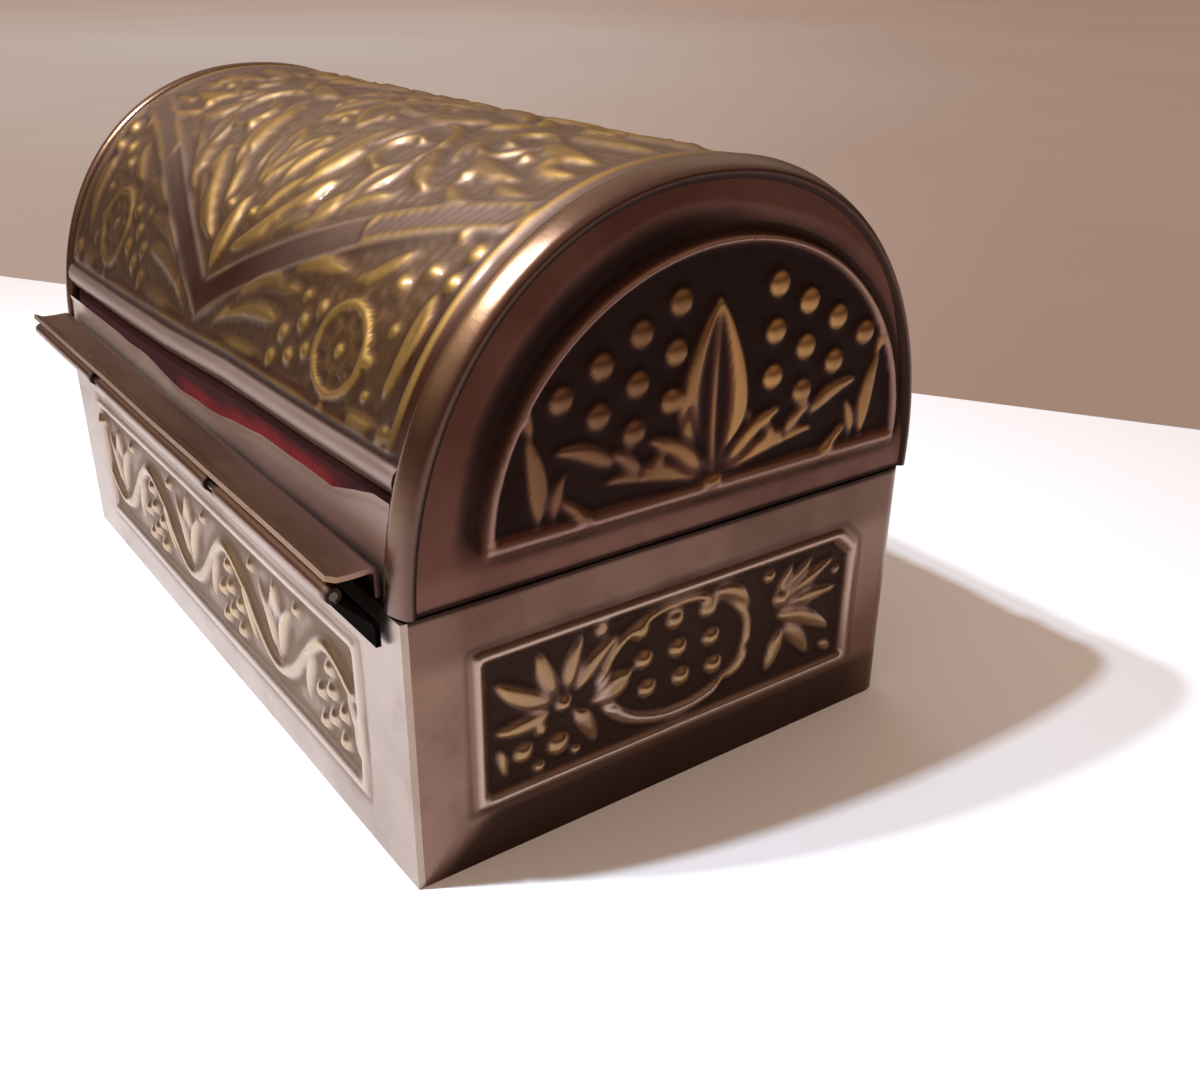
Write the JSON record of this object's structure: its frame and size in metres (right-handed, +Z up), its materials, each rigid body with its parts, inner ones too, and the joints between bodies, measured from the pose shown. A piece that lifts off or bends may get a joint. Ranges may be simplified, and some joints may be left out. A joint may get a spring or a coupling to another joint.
{
  "type": "jewelry box",
  "caption": "Small oblong trinket box of embossed plated sheet metal, with a domed lid on a tube hinge along the back and a red velvet lining",
  "frame": {"origin": "centre of the flat underside, where the box rests on the table", "axes": "+X along the box's length towards its far end in the picture, +Y towards the back where the hinge is, +Z up"},
  "size_m": [0.1022, 0.0654, 0.0619],
  "materials": {
    "embossed_sheet": "aged silver plate over brass, embossed; dark in its hollows and rubbed to a golden tone on its raised work",
    "plain_sheet": "aged silver plate over brass, plain, satin with small scratches",
    "bright_moulding": "silver plate worn bright and golden along its crest",
    "steel_wire": "plain drawn wire",
    "red_velvet": "deep red short-pile velvet over card"
  },
  "bodies": {
    "base": {"base_front_shell": "embossed_sheet", "base_back_wall": "embossed_sheet", "base_floor": "plain_sheet", "base_floor_pad": "red_velvet", "base_lining_front": "red_velvet", "base_lining_back": "red_velvet", "base_lining_near": "red_velvet", "base_lining_far": "red_velvet", "hinge_base_strip": "plain_sheet", "hinge_knuckle_middle": "plain_sheet", "hinge_pin": "steel_wire"},
    "lid": {"lid_dome": "embossed_sheet", "lid_band_back": "plain_sheet", "lid_band_front": "plain_sheet", "lid_gable_near": "embossed_sheet", "lid_gable_far": "embossed_sheet", "lid_rim_near": "bright_moulding", "lid_rim_far": "bright_moulding", "lid_lining_arch": "red_velvet", "lid_lining_near": "red_velvet", "lid_lining_far": "red_velvet", "hinge_lid_strip": "plain_sheet", "hinge_knuckle_near": "plain_sheet", "hinge_knuckle_far": "plain_sheet"}
  },
  "joints": [
    {"name": "lid_hinge", "type": "hinge", "parent": "base", "child": "lid", "pos_m": [0, 0.0341, 0.0301], "axis": [-1, 0, 0], "range_deg": [0, 175]}
  ]
}
